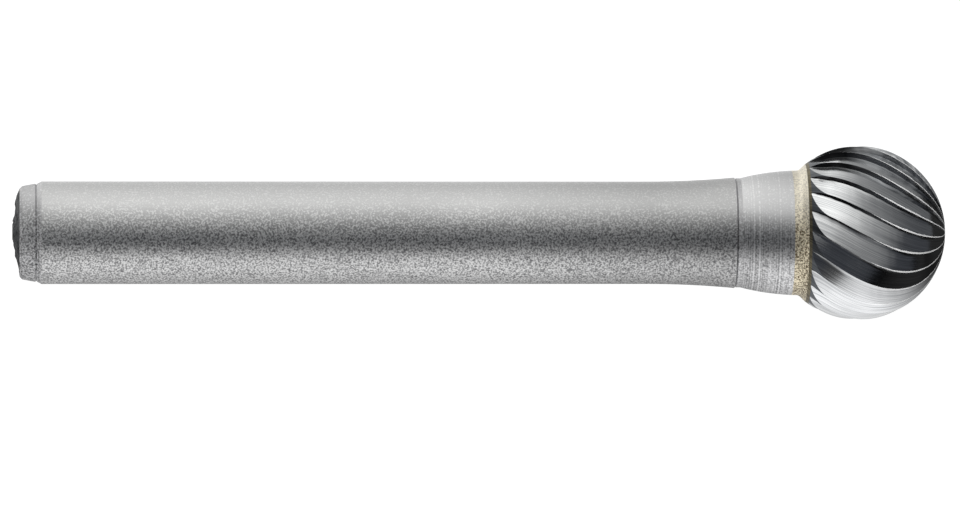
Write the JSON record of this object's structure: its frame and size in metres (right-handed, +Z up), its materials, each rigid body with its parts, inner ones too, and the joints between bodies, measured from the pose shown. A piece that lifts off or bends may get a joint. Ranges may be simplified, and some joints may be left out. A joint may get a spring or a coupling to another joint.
{
  "type": "carbide burr",
  "caption": "Ball-nosed rotary burr: a fluted carbide ball brazed to a straight cylindrical steel shank, for a die grinder's collet.",
  "frame": {"origin": "bottom centre of the bounding box, on the flat surface that the burr lies on", "axes": "+X towards the tip of the ball, +Z up; the burr's own axis rises towards +X by about 2.5 degrees, because the ball is thicker than the shank"},
  "size_m": [0.0546, 0.0102, 0.0101],
  "materials": {
    "steel": "turned and lightly blasted steel, satin",
    "solder": "pale yellow silver solder, dull and slightly rough",
    "carbide": "ground tungsten carbide, dark and polished along the flutes"
  },
  "bodies": {
    "root": {"shank": "steel", "braze_joint": "solder", "cutting_head": "carbide"}
  },
  "joints": []
}
